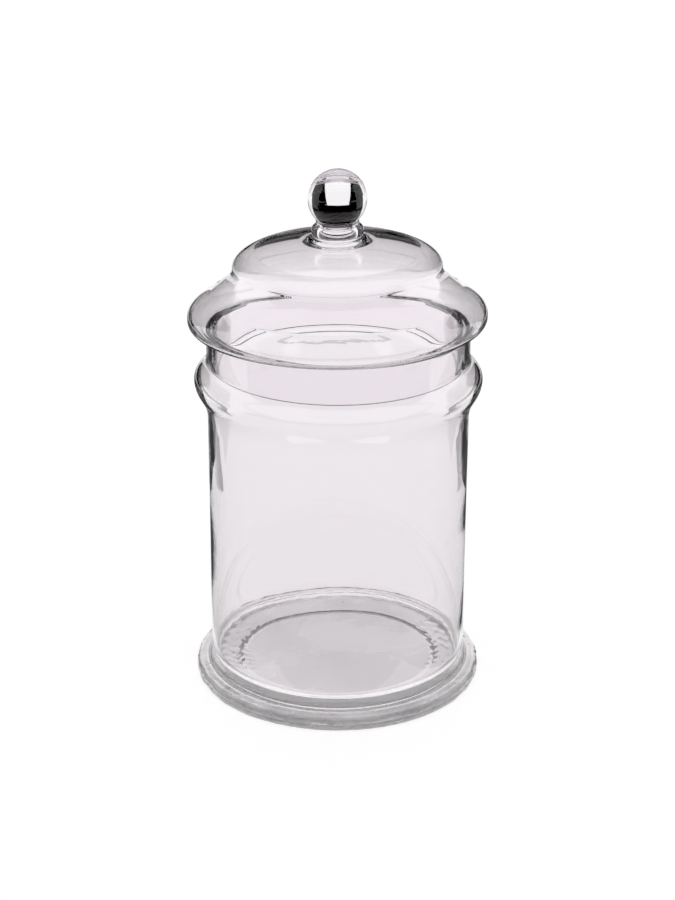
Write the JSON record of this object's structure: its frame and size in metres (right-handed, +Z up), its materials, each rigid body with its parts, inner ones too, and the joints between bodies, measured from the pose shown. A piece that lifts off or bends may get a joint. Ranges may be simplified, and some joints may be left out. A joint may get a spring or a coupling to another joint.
{
  "type": "specimen jar",
  "caption": "Clear glass display jar: blown cylinder with a rolled shoulder on a disc foot, and a lift-off domed lid with a plug ring and ball knob.",
  "frame": {"origin": "on the jar's axis, in the plane that the foot stands on", "axes": "+Z up along the jar's axis; +X to the right and +Y away from the viewer of the front"},
  "size_m": [0.166, 0.166, 0.3],
  "materials": {
    "body_glass": "clear, fire-polished, slightly wavy",
    "foot_glass": "clear, hot-worked edge with tool marks and seeds",
    "lid_glass": "clear, fire-polished, slightly wavy",
    "plug_glass": "clear, plain",
    "collar_glass": "clear, hot-worked",
    "ball_glass": "clear, solid, polished"
  },
  "bodies": {
    "jar": {"jar_body": "body_glass", "jar_foot": "foot_glass"},
    "lid": {"lid_dome": "lid_glass", "lid_plug_ring": "plug_glass", "knob_collar": "collar_glass", "knob_ball": "ball_glass"}
  },
  "joints": [
    {"name": "lid_lift", "type": "slide", "parent": "jar", "child": "lid", "axis": [0, 0, 1], "range_m": [0, 0.08]}
  ]
}
